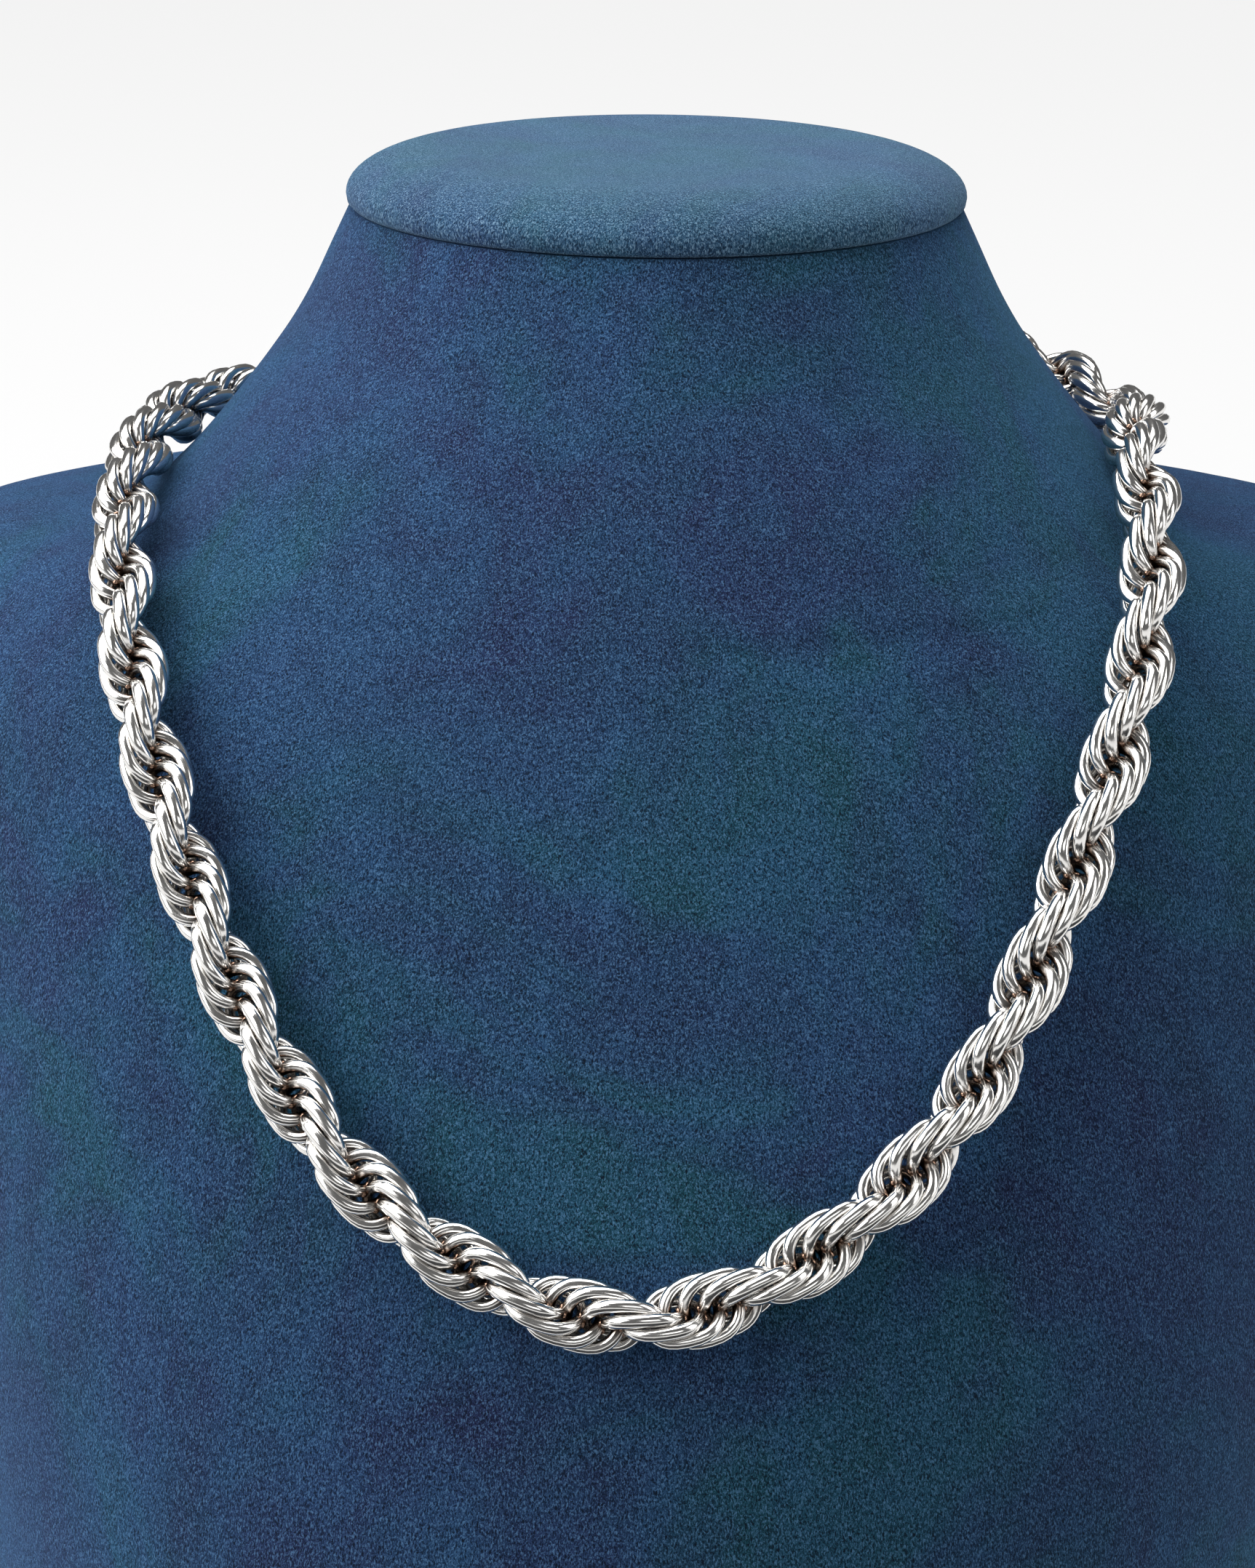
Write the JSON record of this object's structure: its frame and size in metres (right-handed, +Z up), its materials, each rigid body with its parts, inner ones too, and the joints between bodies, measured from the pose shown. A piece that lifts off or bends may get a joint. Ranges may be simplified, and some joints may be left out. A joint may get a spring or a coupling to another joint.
{
  "type": "rope chain on neck bust",
  "caption": "Heavy rope chain of interlocked open rings, closed at the nape by a barrel clasp, lying on a suede-covered neck bust with a covered cap disc.",
  "frame": {"origin": "centre of the footprint's box on the surface that the bust stands on", "axes": "+Z up, -Y towards the chest and the viewer, +X to the viewer's right"},
  "size_m": [0.26, 0.2231, 0.2463],
  "materials": {
    "bust_suede": "blue microsuede with a short brushed nap",
    "cap_suede": "blue microsuede over a firm disc",
    "chain_metal": "highly polished white metal wire",
    "clasp_metal": "polished white metal"
  },
  "bodies": {
    "root": {"bust_form": "bust_suede", "neck_cap": "cap_suede", "rope_chain": "chain_metal", "clasp": "clasp_metal"}
  },
  "joints": []
}
